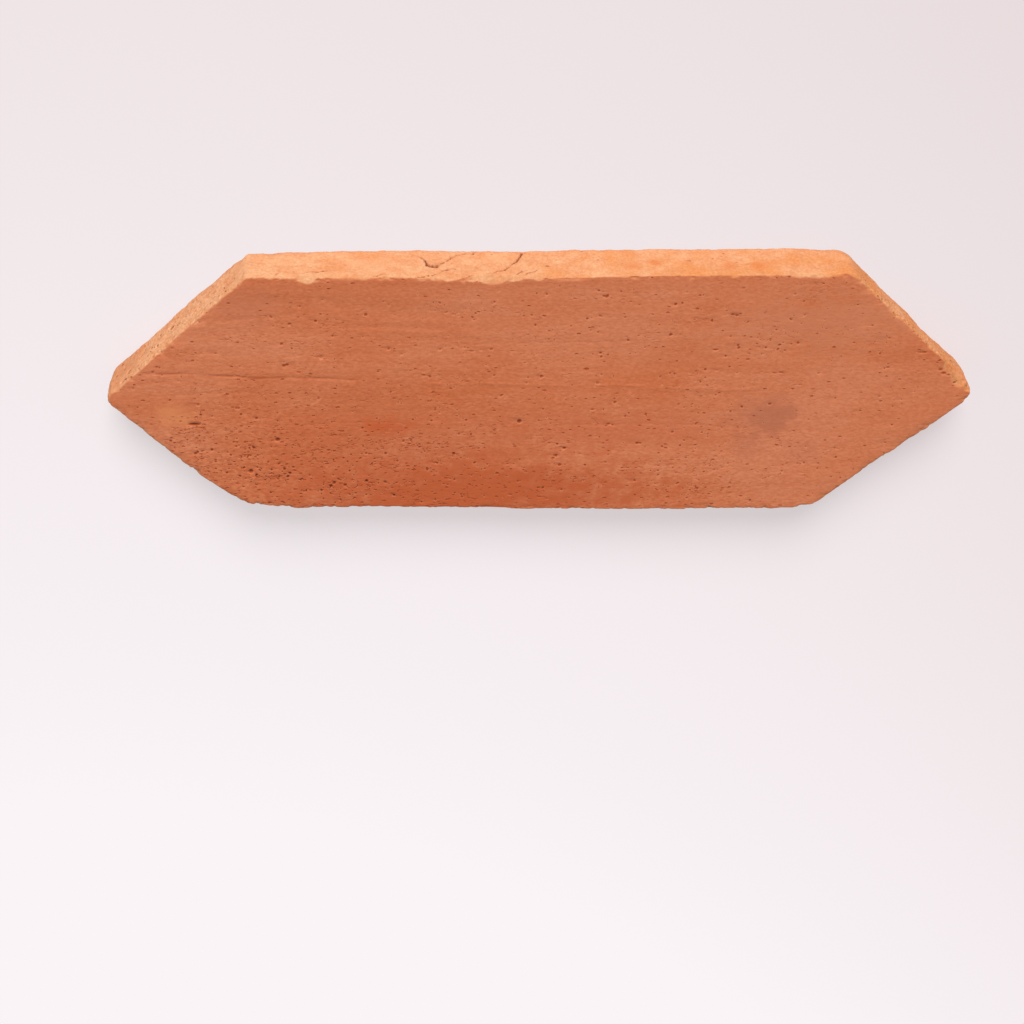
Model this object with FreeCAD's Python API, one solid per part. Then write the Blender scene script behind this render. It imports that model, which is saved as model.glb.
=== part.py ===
"""Handmade terracotta picket tile: a long hexagon of fired clay, lying on its bed.

The frame is in millimetres: +X runs from point to point, +Y across the two long
edges, and +Z up out of the walking face. The origin is in the middle of the bed.
"""
import FreeCAD, Part
import os
from math import cos, hypot, radians, sin

# Plan of the tile
POINT_TO_POINT = 303.8          # between the two points, before they are rounded
SHOULDER_TO_SHOULDER = 204.0    # length of the two long edges, before rounding
LEFT_WIDTH = 98.0               # across the two shoulders at the -X end
RIGHT_WIDTH = 102.0             # across the two shoulders at the +X end, cut a little wider
THICKNESS = 17.0                # from the bed to the walking face

# How far the middle of each hand-cut edge stands out from a straight line
LEFT_END_BOW = 0.7
RIGHT_END_BOW = 0.3
BACK_EDGE_BOW = -0.6            # the +Y long edge sags inwards
FRONT_EDGE_BOW = 0.5

# Rounding of the corners in plan
POINT_RADIUS = 5.0
SHOULDER_RADIUS = 4.0
WORN_SHOULDER_RADIUS = 24.0     # the -X, -Y shoulder is rubbed right down

# Rounding of the two rims
FACE_ARRIS = 0.8                # crisp, where the wet clay was struck off level
BED_ARRIS = 3.0                 # soft, where the clay did not fill the mould

# Shell-shaped chips out of the face arris: place along the edge, radius and depth
TEAR_PLACE = 82.0               # from the -X shoulder along the +Y edge
TEAR_RADIUS = 14.0
TEAR_DEPTH = 1.8
NICK_PLACE = 19.5               # from the -X shoulder along the +Y edge
NICK_RADIUS = 7.0
NICK_DEPTH = 1.1
NOTCH_PLACE = 6.0               # from the +X shoulder along the -Y edge
NOTCH_RADIUS = 3.0
NOTCH_DEPTH = 1.0
BROKEN_PLACE = 6.0              # from the +X point along its +Y edge
BROKEN_RADIUS = 9.0
BROKEN_DEPTH = 1.9

CHIP_ANGLE = 45.0               # chips break away halfway between the face and the side
UP = FreeCAD.Vector(0, 0, 1)


def bowed_edge(start, end, bow):
    """An edge from start to end, going anticlockwise, with its middle moved outwards by bow."""
    if bow == 0:
        return Part.LineSegment(start, end).toShape()
    run = end - start
    outward = FreeCAD.Vector(run.y, -run.x, 0) / hypot(run.x, run.y)
    return Part.Arc(start, (start + end) / 2 + outward * bow, end).toShape()


def outline_edges():
    """The six edges of the sharp outline at the bed, by name, anticlockwise from the +X point."""
    right_point = FreeCAD.Vector(POINT_TO_POINT / 2, 0, 0)
    left_point = FreeCAD.Vector(-POINT_TO_POINT / 2, 0, 0)
    shoulder = SHOULDER_TO_SHOULDER / 2
    right_back = FreeCAD.Vector(shoulder, RIGHT_WIDTH / 2, 0)
    left_back = FreeCAD.Vector(-shoulder, LEFT_WIDTH / 2, 0)
    left_front = FreeCAD.Vector(-shoulder, -LEFT_WIDTH / 2, 0)
    right_front = FreeCAD.Vector(shoulder, -RIGHT_WIDTH / 2, 0)
    return {
        "right_back": bowed_edge(right_point, right_back, RIGHT_END_BOW),
        "back": bowed_edge(right_back, left_back, BACK_EDGE_BOW),
        "left_back": bowed_edge(left_back, left_point, LEFT_END_BOW),
        "left_front": bowed_edge(left_point, left_front, LEFT_END_BOW),
        "front": bowed_edge(left_front, right_front, FRONT_EDGE_BOW),
        "right_front": bowed_edge(right_front, right_point, RIGHT_END_BOW),
    }


def corner_radius(corner):
    """The plan radius of the corner that stands at this place."""
    if abs(corner.x) > SHOULDER_TO_SHOULDER / 2 + POINT_RADIUS:
        return POINT_RADIUS
    if corner.x < 0 and corner.y < 0:
        return WORN_SHOULDER_RADIUS
    return SHOULDER_RADIUS


def slab(edges):
    """The tile before it was chipped: extruded outline, rounded corners, two rounded rims."""
    block = Part.Face(Part.Wire(list(edges.values()))).extrude(UP * THICKNESS)
    uprights = [edge for edge in block.Edges if edge.BoundBox.ZLength > THICKNESS / 2]
    for upright in uprights:
        corner = upright.Vertexes[0].Point
        block = block.makeFillet(corner_radius(corner), [matching_upright(block, corner)])
    rim = [edge for edge in block.Edges if edge.BoundBox.ZMin > THICKNESS / 2]
    block = block.makeFillet(FACE_ARRIS, rim)
    foot = [edge for edge in block.Edges if edge.BoundBox.ZMax < FACE_ARRIS / 2]
    return block.makeFillet(BED_ARRIS, foot)


def matching_upright(block, corner):
    """The sharp upright edge of the block that stands at a corner of the outline."""
    uprights = [edge for edge in block.Edges if edge.BoundBox.ZLength > THICKNESS / 2]
    return min(uprights, key=lambda edge: hypot(edge.BoundBox.Center.x - corner.x,
                                                edge.BoundBox.Center.y - corner.y))


def chip(edge, place, radius, depth):
    """A ball that bites a shell-shaped chip of this depth out of the face arris above an edge."""
    parameter = edge.getParameterByLength(place)
    foot = edge.valueAt(parameter)
    along = edge.tangentAt(parameter)
    outward = FreeCAD.Vector(along.y, -along.x, 0)
    slope = radians(CHIP_ANGLE)
    away = outward * cos(slope) + UP * sin(slope)
    centre = foot + UP * THICKNESS + away * (radius - depth)
    return Part.makeSphere(radius, centre)


def picket_tile():
    """The whole fired tile, chipped as it was handled, with the origin under its middle."""
    edges = outline_edges()
    chips = [
        chip(edges["back"], edges["back"].Length - TEAR_PLACE, TEAR_RADIUS, TEAR_DEPTH),
        chip(edges["back"], edges["back"].Length - NICK_PLACE, NICK_RADIUS, NICK_DEPTH),
        chip(edges["front"], edges["front"].Length - NOTCH_PLACE, NOTCH_RADIUS, NOTCH_DEPTH),
        chip(edges["right_back"], BROKEN_PLACE, BROKEN_RADIUS, BROKEN_DEPTH),
    ]
    tile = slab(edges).cut(chips)
    middle = tile.optimalBoundingBox(False, False).Center
    tile.translate(FreeCAD.Vector(-middle.x, -middle.y, 0))
    return tile.Solids[0]


os.makedirs("parts", exist_ok=True)
tile = picket_tile()
tile.exportStep("parts/picket_tile.step")
box = tile.optimalBoundingBox(False, False)
print(f"picket_tile: {box.XLength:.2f} x {box.YLength:.2f} x {box.ZLength:.2f} mm,",
      f"{tile.Volume / 1000:.1f} cm3, valid {tile.isValid()}")
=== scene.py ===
# %% [markdown]
# # A handmade terracotta picket tile
# The object is one fired clay tile, a long hexagon with two points, lying flat on its bed.
# The CAD frame already gives its true size and place, so it is loaded first and never moved.
# Its box is kept, because the dressed tile has to fill the same space.

# %% Load the frame
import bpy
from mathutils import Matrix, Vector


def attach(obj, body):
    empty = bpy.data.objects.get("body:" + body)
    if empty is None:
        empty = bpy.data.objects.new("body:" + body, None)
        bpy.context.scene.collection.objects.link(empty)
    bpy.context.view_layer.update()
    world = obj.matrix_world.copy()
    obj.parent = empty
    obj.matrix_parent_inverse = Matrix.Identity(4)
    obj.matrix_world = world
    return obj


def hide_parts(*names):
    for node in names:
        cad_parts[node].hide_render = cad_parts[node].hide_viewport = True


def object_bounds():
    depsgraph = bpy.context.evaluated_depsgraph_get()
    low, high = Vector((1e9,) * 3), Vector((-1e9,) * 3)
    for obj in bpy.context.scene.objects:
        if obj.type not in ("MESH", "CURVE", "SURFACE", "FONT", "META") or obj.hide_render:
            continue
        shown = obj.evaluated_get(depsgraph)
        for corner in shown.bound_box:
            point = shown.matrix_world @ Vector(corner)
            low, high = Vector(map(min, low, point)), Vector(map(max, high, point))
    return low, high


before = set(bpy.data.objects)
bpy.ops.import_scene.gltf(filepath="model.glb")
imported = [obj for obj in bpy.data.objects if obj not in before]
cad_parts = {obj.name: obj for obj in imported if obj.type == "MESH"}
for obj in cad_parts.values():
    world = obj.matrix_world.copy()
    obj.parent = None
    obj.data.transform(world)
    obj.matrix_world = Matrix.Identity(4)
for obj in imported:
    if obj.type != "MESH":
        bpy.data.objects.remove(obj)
cad_low, cad_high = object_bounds()
print("CAD box in metres:", tuple(cad_low), tuple(cad_high))

# %% [markdown]
# ## The outline that the clay was cut to
# A tile maker lays a wooden template on the clay and runs a knife round it. A hexagon is that
# template, with three corners where one shoulder was knocked about. It could be traced as a long
# list of points, but a few corners, each with a vertex bevel, are easier to change.

# %% Cut the template
from math import radians

import bmesh
import bpy
import numpy as np
from mathutils import Matrix, Vector, kdtree, noise

MM = 0.001
LEFT_POINT = 151.4              # middle to the -X point, before rounding
RIGHT_POINT = 153.3             # middle to the +X point, before rounding
SHOULDER = 102.0                # middle to either pair of shoulders
LEFT_HALF = 49.0                # half the width at the -X shoulders
RIGHT_HALF = 51.0               # half the width at the +X shoulders
thickness = cad_high.z / MM

# Each corner: place in plan, and how far along its edges the rounding starts
CORNERS = {
    "right_point": (RIGHT_POINT, 0.0, 3.6),
    "right_back": (SHOULDER, RIGHT_HALF, 2.5),
    "left_back": (-SHOULDER, LEFT_HALF + 0.9, 0.6),
    "left_point": (-LEFT_POINT, 0.0, 4.0),
    "worn_outer": (-107.3, -44.3, 1.5),
    "worn_middle": (-102.2, -47.0, 0.8),
    "worn_inner": (-86.0, -49.2, 1.0),
    "right_front": (SHOULDER, -RIGHT_HALF, 1.5),
}

shell = bmesh.new()
ring = [shell.verts.new((x * MM, y * MM, 0.0)) for x, y, _ in CORNERS.values()]
shell.faces.new(ring)
for corner, (_, _, start) in zip(ring, CORNERS.values()):
    bmesh.ops.bevel(shell, geom=[corner], offset=start * MM, offset_type="OFFSET",
                    segments=5, profile=0.5, affect="VERTICES", material=-1)
print("template corners after rounding:", len(shell.verts))

# %% [markdown]
# ## Edges that wander
# A knife drawn by hand does not run straight. Each edge is divided, and its new vertices are
# moved out or in by a millimetre at most. The few numbers are read off the photograph, at even
# steps from the -X end of an edge to its +X end, so the waves sit where the real ones do.

# %% Bow the six edges
EDGE_WANDER = {
    "left back": (-0.4, -0.35, -0.1, 0.2, 0.2, 0.0),
    "back": (0.0, -0.45, -0.3, -0.6, -0.9, -0.7, -0.3, -0.45, -0.4, -0.5),
    "right back": (0.0, 0.3, 0.6, 0.7, 0.9, 0.6),
    "left front": (-0.1, 0.1, 0.75, 0.95, 0.9, 0.2),
    "front": (0.0, -0.35, -0.1, 0.45, 1.0, 1.3, 1.3, 1.2, 1.4),
    "right front": (0.3, 0.0, 0.1, 0.3, 0.7, 1.0),
}
EDGE_CUTS = 30
LONG_EDGE = 40 * MM


def edge_name(middle):
    """Which of the six edges has its middle here."""
    end = "right " if middle.x > SHOULDER * MM else "left " if middle.x < -SHOULDER * MM else ""
    return end + ("back" if middle.y > 0 else "front")


for edge in [edge for edge in shell.edges if edge.calc_length() > LONG_EDGE]:
    first, last = sorted((vert.co.copy() for vert in edge.verts), key=lambda place: place.x)
    middle = (first + last) / 2
    wander = EDGE_WANDER[edge_name(middle)]
    out_way = Vector((last.y - first.y, first.x - last.x, 0.0)).normalized()
    if out_way.dot(middle) < 0:
        out_way.negate()
    made = bmesh.ops.subdivide_edges(shell, edges=[edge], cuts=EDGE_CUTS)
    for vert in [item for item in made["geom_inner"] if isinstance(item, bmesh.types.BMVert)]:
        along = (vert.co - first).length / (last - first).length
        vert.co += out_way * MM * np.interp(along, np.linspace(0, 1, len(wander)), wander)
template = shell.faces[:][0]
outline = np.array([vert.co.xy for vert in template.verts]) / MM
print("outline vertices:", len(outline))

# %% [markdown]
# ## Thickness, and an even skin to sculpt
# The outline is extruded to the thickness of the tile. Relief needs vertices everywhere, so a
# voxel Remesh then covers the solid in small even quads, as a sculptor does before adding detail.
# From here on the clay is worked as arrays of vertex places, in millimetres.

# %% Extrude and remesh
SKIN_QUAD = 0.38

raised = bmesh.ops.extrude_face_region(shell, geom=[template], use_keep_orig=True)
risen = [item for item in raised["geom"] if isinstance(item, bmesh.types.BMVert)]
bmesh.ops.translate(shell, verts=risen, vec=(0, 0, thickness * MM))
bmesh.ops.recalc_face_normals(shell, faces=shell.faces)
shell_mesh = bpy.data.meshes.new("tile_shell")
shell.to_mesh(shell_mesh)
shell.free()


def placed(name, data):
    """A new object that shows this data, linked into the scene."""
    made = bpy.data.objects.new(name, data)
    bpy.context.collection.objects.link(made)
    return made


shell_object = placed("tile_shell", shell_mesh)
skin_step = shell_object.modifiers.new("skin", "REMESH")
skin_step.mode = "VOXEL"
skin_step.voxel_size = SKIN_QUAD * MM


def finished_mesh(piece, name):
    """A plain mesh of the piece with its modifiers applied."""
    graph = bpy.context.evaluated_depsgraph_get()
    mesh = bpy.data.meshes.new_from_object(piece.evaluated_get(graph))
    mesh.name = name
    return mesh


clay = finished_mesh(shell_object, "picket_tile_clay")
bpy.data.objects.remove(shell_object)
count = len(clay.vertices)
flat = np.empty(count * 3, np.float32)
clay.vertices.foreach_get("co", flat)
places = flat.reshape(-1, 3).astype(float) / MM
print("vertices to sculpt:", count)

# %% [markdown]
# ## Where each vertex stands on the outline
# Rims, wear and edge pores all need to know how far a vertex is from the cut edge, and which way
# is out. The outline is walked in short steps, and a k-d tree finds the nearest step for every
# vertex, which is much quicker than measuring to every edge.

# %% Measure to the outline
STEP = 0.25
TANGENT_STEPS = 4

closed = np.vstack((outline, outline[:1]))
walked = np.concatenate(([0], np.cumsum(np.linalg.norm(np.diff(closed, axis=0), axis=1))))
marks = np.arange(0, walked[-1], STEP)
line = np.column_stack([np.interp(marks, walked, closed[:, axis]) for axis in (0, 1)])
tangent = np.roll(line, -TANGENT_STEPS, axis=0) - np.roll(line, TANGENT_STEPS, axis=0)
outward = np.column_stack((tangent[:, 1], -tangent[:, 0]))
outward /= np.linalg.norm(outward, axis=1)[:, None]
finder = kdtree.KDTree(len(line))
for index, (x, y) in enumerate(line):
    finder.insert((x, y, 0), index)
finder.balance()
station = np.array([finder.find((x, y, 0))[1] for x, y, _ in places.tolist()])
inset = np.einsum("ij,ij->i", line[station] - places[:, :2], outward[station])
print("cut edge in mm:", round(float(walked[-1]), 1))

# %% [markdown]
# ## Two rims
# The walking face keeps a crisp rim, where the clay was struck off level. The bed has a soft one:
# small along the two long edges, and a deep undercut at the hand-cut ends, most of all under the
# points. A bevel of one width can't do that, so each vertex near a rim is drawn onto an ellipse,
# and the reach of the ellipse changes along the edge.

# %% Round the rims
# Reach of the bed rim, inwards and upwards, at places along X
RIM_X = (-152, -145, -136, -104, -92, -78, 84, 98, 104, 118, 122, 140, 147, 152)
BED_INWARD = (1.0, 1.0, 2.1, 2.8, 2.0, 1.5, 1.5, 2.6, 3.8, 4.6, 7.4, 6.6, 4.2, 2.4)
BED_UPWARD = (8.0, 9.0, 10.0, 9.0, 4.0, 2.0, 2.0, 4.0, 9.0, 11.0, 12.0, 11.0, 9.0, 7.0)
# Nicks in the +Y bed rim: place along X, half-length and reach
BED_NICKS = ((-93.5, 5.0, 0.7), (-60.0, 3.0, 0.4), (-18.3, 2.4, 1.2), (30.0, 4.0, 0.5))
# Reach of the face rim at places along X
FACE_RIM_X = (-152, -104, -98, -85, -20, 0, 75, 95, 152)
FACE_RIM = (0.6, 0.6, 0.5, 0.9, 0.9, 0.5, 0.5, 1.0, 0.7)


def along_outline(cell, seed):
    """Noise along the outline, about -1 to 1."""
    return np.array([noise.noise((x / cell, y / cell, seed)) for x, y in line.tolist()])


def round_rim(level, inward, deep, power=2.0):
    """Draws the clay near a rim onto an ellipse, or onto a flatter slope for a power near one.

    Gives back the new distance of each vertex from the plane of the rim."""
    inward, deep = inward[station], deep[station]
    from_side = np.maximum(inward - inset, 0) / inward
    from_plane = np.maximum(deep - level, 0) / deep
    reach = (from_side ** power + from_plane ** power) ** (1 / power)
    cut = (from_side > 0) & (from_plane > 0) & (reach > 1)
    drawn = inward * (1 - from_side / np.maximum(reach, 1)) - inset
    places[cut, :2] -= (outward[station] * drawn[:, None])[cut]
    inset[cut] += drawn[cut]
    return np.where(cut, deep * (1 - from_plane / np.maximum(reach, 1)), level)


uneven = 1 + 0.3 * along_outline(9, 3.3) + 0.15 * along_outline(3, 5.1)
bed_inward = np.interp(line[:, 0], RIM_X, BED_INWARD) * uneven
for x, half_length, reach in BED_NICKS:
    bed_inward += reach * np.clip(1 - ((line[:, 0] - x) / half_length) ** 2, 0, 1) * (line[:, 1] > 0)
bed_upward = np.interp(line[:, 0], RIM_X, BED_UPWARD) * uneven
places[:, 2] = round_rim(places[:, 2], bed_inward, bed_upward)
face_reach = np.interp(line[:, 0], FACE_RIM_X, FACE_RIM) * (1 + 0.7 * along_outline(6, 9.2))
places[:, 2] = thickness - round_rim(thickness - places[:, 2], face_reach, face_reach)
print("bed rim reaches in by", bed_inward.min().round(1), "to", bed_inward.max().round(1), "mm")

# %% [markdown]
# ## Blunt points
# Under the face the two points are blunter, because soft clay slumps at a corner. The point is
# rounded by a circle that fits between its two edges, and the circle grows towards the bed. A
# smoothing pass then blends it into the sides, as the smooth brush does in sculpting. The same
# brush goes over the underside of the -X point and down the upright edge of one shoulder.

# %% Blunt the two points
edge_ends = np.empty(len(clay.edges) * 2, np.int32)
clay.edges.foreach_get("vertices", edge_ends)
edge_ends = edge_ends.reshape(-1, 2)


def relax(chosen, rounds):
    """Draws the chosen vertices halfway to the middle of their neighbours, several times over."""
    used = edge_ends[chosen[edge_ends].any(axis=1)]
    here, there = np.concatenate((used, used[:, ::-1])).T
    neighbours = np.bincount(here, minlength=count)[chosen][:, None]
    for _ in range(rounds):
        total = np.column_stack([np.bincount(here, places[there, axis], count) for axis in range(3)])
        places[chosen] = (places[chosen] + total[chosen] / neighbours) / 2


# Apex, and the radius of the rounding at the face and at the bed
POINTS = {"left": (-LEFT_POINT, 4.0, 9.0), "right": (RIGHT_POINT, 4.0, 9.0)}
BLEND_FROM, BLEND_UNDER = 126.0, thickness - 2
SLUMP_FROM, SLUMP_UNDER = -138.0, 9.0
SHOULDER_REACH, SHOULDER_HEIGHTS = 4.5, (3.0, thickness - 0.5)
BLEND_ROUNDS, SOFTEN_ROUNDS = 45, 60

for apex, at_face, at_bed in POINTS.values():
    way = np.sign(apex)
    depth = np.clip(1 - places[:, 2] / thickness, 0, 1)
    radius = at_face + (at_bed - at_face) * depth ** 2
    centre = apex - way * radius * 2 ** 0.5
    ahead = (places[:, 0] - centre) * way
    reach = np.hypot(ahead, places[:, 1])
    cut = (ahead > np.abs(places[:, 1])) & (reach > radius)
    places[cut, 0] = (centre + way * ahead * radius / reach)[cut]
    places[cut, 1] *= (radius / reach)[cut]
relax((np.abs(places[:, 0]) > BLEND_FROM) & (places[:, 2] < BLEND_UNDER), BLEND_ROUNDS)
relax((places[:, 0] < SLUMP_FROM) & (places[:, 2] < SLUMP_UNDER), SOFTEN_ROUNDS)
from_shoulder = np.hypot(places[:, 0] + SHOULDER, places[:, 1] - LEFT_HALF)
upright = (places[:, 2] > SHOULDER_HEIGHTS[0]) & (places[:, 2] < SHOULDER_HEIGHTS[1])
relax((from_shoulder < SHOULDER_REACH) & upright, SOFTEN_ROUNDS)
print("blunted points:", list(POINTS))

# %% [markdown]
# ## Bites out of the crisp rim
# Fired clay breaks off a rim in shallow slanting bites. Each one is a place on the rim, with the
# length of the bite along it and its reach into the face. They use the same tool as the rims,
# with a flatter slope, and noise frays their outline. The frame's own chips are among them.

# %% Break the bites
# Place, half-length along the rim, and reach into the face
BITES = (
    (-82.5, 49.3, 3.6, 2.4), (-63.6, 49.0, 2.6, 1.4), (-35.0, 48.6, 3.2, 1.6), (-27.5, 48.6, 3.0, 1.5),
    (-20.5, 48.8, 5.5, 3.0), (-14.0, 49.0, 4.0, 1.6), (-5.0, 49.2, 2.0, 1.7), (61.0, 50.2, 2.0, 0.9),
    (88.0, 50.4, 12.0, 1.3), (141.7, 10.2, 4.5, 3.6), (146.2, 6.4, 5.4, 4.6), (149.8, 2.6, 3.0, 2.0),
    (98.3, -51.5, 3.0, 1.3), (64.4, -51.5, 2.5, 1.0), (-121.0, -31.5, 2.5, 1.0), (-99.5, -47.3, 1.8, 0.9),
    (-89.5, -48.7, 3.2, 1.2), (147.0, -5.6, 2.0, 1.0), (124.0, -29.5, 2.5, 1.0), (110.0, -43.0, 2.0, 0.9),
    (-147.0, -6.0, 2.0, 0.9),
)
DEEPEST_BITE = 2.4
BITE_SLOPE = 0.8
BITE_POWER = 1.15               # near one, so that the bite is almost a flat slope
SEEN_BREAK = 0.12               # clay that moved by more than this counts as broken

bite = np.full(len(line), 0.01)
for x, y, half_length, reach in BITES:
    away = np.hypot(line[:, 0] - x, line[:, 1] - y) / half_length
    bite = np.maximum(bite, reach * np.clip(1 - away ** 2, 0, 1) ** 0.7)
bite *= 1 + 0.5 * along_outline(1.6, 2.7) / np.maximum(bite, 1)
before = places.copy()
bite_depth = BITE_SLOPE * np.minimum(bite, DEEPEST_BITE)
places[:, 2] = thickness - round_rim(thickness - places[:, 2], bite, bite_depth, BITE_POWER)
moved = np.linalg.norm(places - before, axis=1)
broken = moved > SEEN_BREAK
relax(broken, 4)
print("broken vertices:", int(broken.sum()))

# %% [markdown]
# ## Which clay is which
# Face, bed and sides get different relief and colour, so each vertex is sorted by the way it
# faces. A second array notes how hollow the clay is, and it is filled in as pores are pressed;
# the material paints shade in pores and cracks where it is high.


# %% Sort the clay
def clay_normals():
    """The outward direction at each vertex of the clay as it is now."""
    clay.vertices.foreach_set("co", (places * MM).astype(np.float32).ravel())
    clay.update()
    found = np.empty(count * 3, np.float32)
    clay.vertex_normals.foreach_get("vector", found)
    return found.reshape(-1, 3).astype(float)


FACES_UP = 0.8                  # upright enough to belong to the face, or upside down to the bed

normals = clay_normals()
on_face = normals[:, 2] > FACES_UP
on_bed = (normals[:, 2] < -FACES_UP) & (places[:, 2] < 0.5)
on_side = ~(on_face | on_bed)
# How hollow the clay is; the material paints shade where this is high
hollow = np.zeros(count)        # 1 in the bottom of a pore or crack
print("vertices on the face:", int(on_face.sum()), "on the sides:", int(on_side.sum()))


# %% [markdown]
# ## The struck face
# A straight edge was drawn along the wet clay, so the face is nearly flat, with a slow swell and
# shallow drags that run from point to point. Noise stretched along X gives both. The finest
# drags are left to the bump of the material, because they are thinner than a quad.

# %% Swell and drag the face
def clay_noise(chosen, cell, seed):
    """Smooth noise, about -1 to 1, at the chosen vertices, with lumps one cell across."""
    shifted = places[chosen] / np.asarray(cell) + seed * 7.31
    return np.array([noise.noise(place) for place in shifted.tolist()])


def sink(chosen, amount):
    """Moves the chosen vertices in along their normals."""
    places[chosen] -= normals[chosen] * amount[:, None]


def layered(chosen, layers):
    """Several noises added up. Each layer is a height in millimetres, a cell size and a seed."""
    return sum(height * clay_noise(chosen, cell, seed) for height, cell, seed in layers)


SWELL = ((0.2, (70, 26, 30), 1), (0.05, (60, 7, 30), 2))
DRAG_RELIEF = ((0.014, (9, 2.2, 9), 3),)
swell = layered(on_face, SWELL)
sink(on_face, swell + layered(on_face, DRAG_RELIEF))
print("swell of the face in mm:", np.ptp(swell).round(3))

# %% [markdown]
# ## Lines that the straight edge left
# Grit caught under the straight edge has ploughed a few long lines, some as grooves and some as
# low ridges. Each is a handful of points on the face. The photograph shows them, because the
# light comes in low over the +Y edge.

# %% Plough the long lines
# Half-width, height (below zero is a groove), then the points
PLOUGHED = (
    (0.7, -0.12, ((-137, 11), (-120, 10.7), (-104, 9), (-91, 8.8), (-79, 8.5), (-66, 7.6))),
    (0.6, -0.06, ((-105, 9.1), (-98, 8.8), (-90, 8.7))),
    (5.0, -0.10, ((-104, 39.5), (-70, 38.5), (-28, 34.5))),
    (0.8, 0.05, ((-69, 5.5), (-62, 6.8), (-55, 7.8), (-44, 8.2))),
    (0.9, 0.075, ((-45, 6.2), (-15, 5.4), (0, 5.0), (30, 4.5), (50, 2.6), (72, 2.4))),
    (0.8, -0.045, ((-137, 1), (-115, 2.5), (-95, 3))),
    (0.6, -0.05, ((-108, -11.5), (-85, -11.8), (-60, -10.6), (-48, -11))),
    (2.2, 0.06, ((-58, 28), (-30, 27), (2, 25))),
    (0.8, -0.055, ((2, -12.8), (36, -12.5), (70, -14))),
    (0.6, -0.05, ((-30, 22.5), (20, 23), (48, 22.4))),
    (0.7, 0.03, ((30, -6), (60, -5.6), (78, -5.8))),
    (1.6, -0.06, ((-113, 32.1), (-101, 33.7), (-87, 34.5), (-78, 31.9), (-68, 30.5), (-37, 28.2))),
)
LINE_SHAKE = 0.3


def distance_to(points, route):
    """How far each point is from a route of straight runs."""
    nearest = np.full(len(points), np.inf)
    route = np.array(route, float)
    for start, end in zip(route, route[1:]):
        run = end - start
        part = np.clip((points - start) @ run / (run @ run), 0, 1)
        nearest = np.minimum(nearest, np.linalg.norm(points - start - part[:, None] * run, axis=1))
    return nearest


face_ids = np.flatnonzero(on_face)
face_plan = places[face_ids, :2] + LINE_SHAKE * clay_noise(face_ids, 8, 21)[:, None]
face_plan += LINE_SHAKE * clay_noise(face_ids, 2, 22)[:, None]
depth_share = np.clip(1 + 1.2 * clay_noise(face_ids, 5, 23), 0.2, 2)
for half_width, height, route in PLOUGHED:
    profile = np.clip(1 - (distance_to(face_plan, route) / half_width) ** 2, 0, 1) ** 2
    places[face_ids, 2] += height * profile * depth_share
print("ploughed lines:", len(PLOUGHED))

# %% [markdown]
# ## The cut sides
# The sides were cut or pressed, not smoothed, so they are lumpy and sandy, like bread. Three
# noises of falling size do it. Each keeps a mean of about zero, so the tile doesn't shrink.

# %% Roughen the sides
SIDE_RELIEF = ((0.24, (13, 13, 8), 4), (0.20, (4, 4, 3), 5), (0.13, (1.3, 1.3, 1.1), 6))
BROKEN_RELIEF = ((0.08, 2.2, 12), (0.06, 1.1, 13))
BED_RELIEF = 0.06

side_relief = layered(on_side, SIDE_RELIEF)
sink(on_side, side_relief)
sink(broken, layered(broken, BROKEN_RELIEF))
sink(on_bed, BED_RELIEF * (1 + clay_noise(on_bed, 25, 7)))
print("relief of the sides in mm:", np.ptp(side_relief).round(2))

# %% [markdown]
# ## Nibbled rims
# Handling has knocked crumbs off the crisp rim. Vertices close to the rim go in where a noise is
# high: fine crumbs everywhere, and wider worn places here and there. The skin, the fine red
# surface that the straight edge left, is gone where clay broke or where the rim turns over.

# %% Wear the rim of the face
RIM_BAND, RIM_REACH = 1.5, 1.2  # how far below the face and in from the edge the wear goes
CRUMB, WEAR = 0.55, 0.35
SKIN_TURNS = 0.86               # the skin starts where the clay faces up by more than this
SKIN_WHOLE = 0.12               # and is whole this much further on

near_rim = (places[:, 2] > thickness - RIM_BAND) & (inset < RIM_REACH)
crumbs = np.clip(clay_noise(near_rim, 1.7, 8) - 0.05, 0, 1)
worn = np.clip(clay_noise(near_rim, 9, 9) - 0.1, 0, 1)
knocked_off = CRUMB * crumbs + WEAR * worn
sink(near_rim, knocked_off)
normals = clay_normals()
skin = np.clip((normals[:, 2] - SKIN_TURNS) / SKIN_WHOLE, 0, 1)
skin *= 1 - np.clip((moved - 0.1) / 0.5, 0, 1)
print("deepest crumb in mm:", knocked_off.max().round(2))

# %% [markdown]
# ## Cracks in the long edge
# Two drying cracks cross the +Y edge beside the torn notch, and the clay between them is torn in
# slanting leaves. Each crack is a short route of points on that side, and the clay near the route
# goes in. A noise shifts the clay's own places first, so that the crack runs ragged.

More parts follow.
